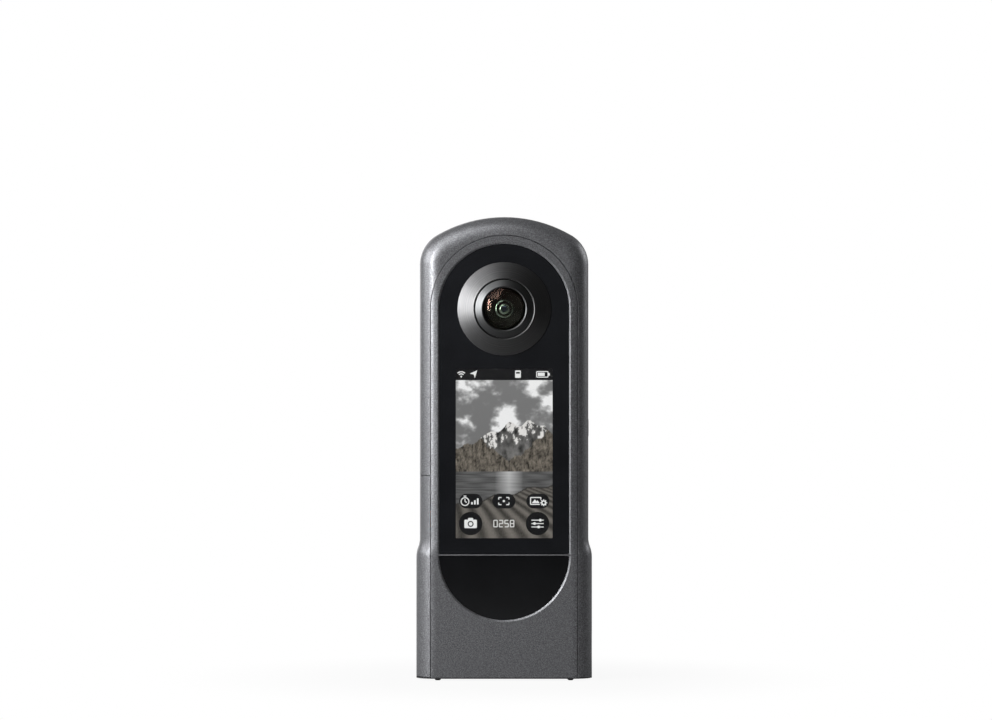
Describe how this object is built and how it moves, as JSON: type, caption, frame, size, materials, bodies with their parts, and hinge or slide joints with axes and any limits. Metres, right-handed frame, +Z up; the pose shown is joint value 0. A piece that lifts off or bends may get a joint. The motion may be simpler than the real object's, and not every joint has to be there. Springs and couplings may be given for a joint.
{
  "type": "360 degree camera",
  "caption": "Slim upright camera with a wide lens on each side, a tall touch screen, a half-moon shutter button, a side battery door and a tripod thread in its base.",
  "frame": {"origin": "on the ground under the middle of the body, level with the undersides of the feet", "axes": "+Z up along the body, -Y out of the screen side, +X to the right seen from the screen side"},
  "size_m": [0.0516, 0.029, 0.1362],
  "materials": {
    "grey_shell": "fine satin metallic paint",
    "grey_button": "satin metallic paint",
    "black_plastic": "fine texture",
    "gloss_black": "polished",
    "cover_glass": "polished, black printed border",
    "display": "polished",
    "black_anodised": "turned, black anodised",
    "lens_glass": "coated",
    "sensor_dark": "polished",
    "steel": "brushed",
    "cast_metal": "cast, satin",
    "copper": "brushed",
    "brass": "plated",
    "rubber": "matt",
    "board_green": "satin",
    "flex_amber": "satin",
    "battery_wrap": "satin",
    "orange_plastic": "satin",
    "lamp_clear": "clear"
  },
  "bodies": {
    "housing": {"antenna": "flex_amber", "base_plate": "black_plastic", "base_screws": "steel", "battery": "battery_wrap", "battery_contacts": "brass", "battery_tray": "black_plastic", "board_shields": "steel", "card_socket": "steel", "chassis": "cast_metal", "chassis_screws": "steel", "display_flex": "flex_amber", "display_module": "display", "display_tray": "black_plastic", "door_hinge_pin": "steel", "front_image_sensor": "sensor_dark", "front_inner_lens": "lens_glass", "front_lens_baffle": "black_plastic", "front_lens_barrel": "black_plastic", "front_lens_cone": "black_anodised", "front_lens_dome": "lens_glass", "front_lens_ring": "black_anodised", "front_relay_lens": "lens_glass", "front_shell": "grey_shell", "heat_plate": "copper", "main_board": "board_green", "microphones": "black_plastic", "rear_image_sensor": "sensor_dark", "rear_inner_lens": "lens_glass", "rear_lens_baffle": "black_plastic", "rear_lens_barrel": "black_plastic", "rear_lens_cone": "black_anodised", "rear_lens_dome": "lens_glass", "rear_lens_ring": "black_anodised", "rear_relay_lens": "lens_glass", "rear_shell": "grey_shell", "rubber_feet": "rubber", "sensor_flexes": "flex_amber", "shutter_switch": "black_plastic", "side_board": "board_green", "side_frame": "grey_shell", "side_switches": "black_plastic", "speaker": "black_plastic", "status_lamp": "lamp_clear", "touch_glass": "cover_glass", "tripod_bush": "steel", "usb_board": "board_green", "usb_socket": "steel"},
    "shutter": {"shutter_button": "gloss_black"},
    "power": {"power_button": "grey_button"},
    "mode": {"mode_button": "grey_button"},
    "door": {"battery_door": "grey_shell"},
    "latch": {"door_latch": "grey_button"},
    "catch": {"battery_catch": "orange_plastic"},
    "card": {"memory_card": "black_plastic"}
  },
  "joints": [
    {"name": "shutter_press", "type": "slide", "parent": "housing", "child": "shutter", "axis": [0, 1, 0], "range_m": [0, 0.0005], "stiffness_N_per_m": 600},
    {"name": "power_press", "type": "slide", "parent": "housing", "child": "power", "axis": [-1, 0, 0], "range_m": [0, 0.0004], "stiffness_N_per_m": 500},
    {"name": "mode_press", "type": "slide", "parent": "housing", "child": "mode", "axis": [-1, 0, 0], "range_m": [0, 0.0004], "stiffness_N_per_m": 500},
    {"name": "door_hinge", "type": "hinge", "parent": "housing", "child": "door", "pos_m": [-0.02455, 0.0046, 0.0184], "axis": [0, 0, -1], "range_deg": [0, 90]},
    {"name": "latch_slide", "type": "slide", "parent": "door", "child": "latch", "axis": [0, 0, 1], "range_m": [0, 0.0026]},
    {"name": "catch_slide", "type": "slide", "parent": "housing", "child": "catch", "axis": [0, 0, 1], "range_m": [0, 0.0026], "stiffness_N_per_m": 200},
    {"name": "card_push", "type": "slide", "parent": "housing", "child": "card", "axis": [1, 0, 0], "range_m": [0, 0.0008], "stiffness_N_per_m": 300}
  ]
}
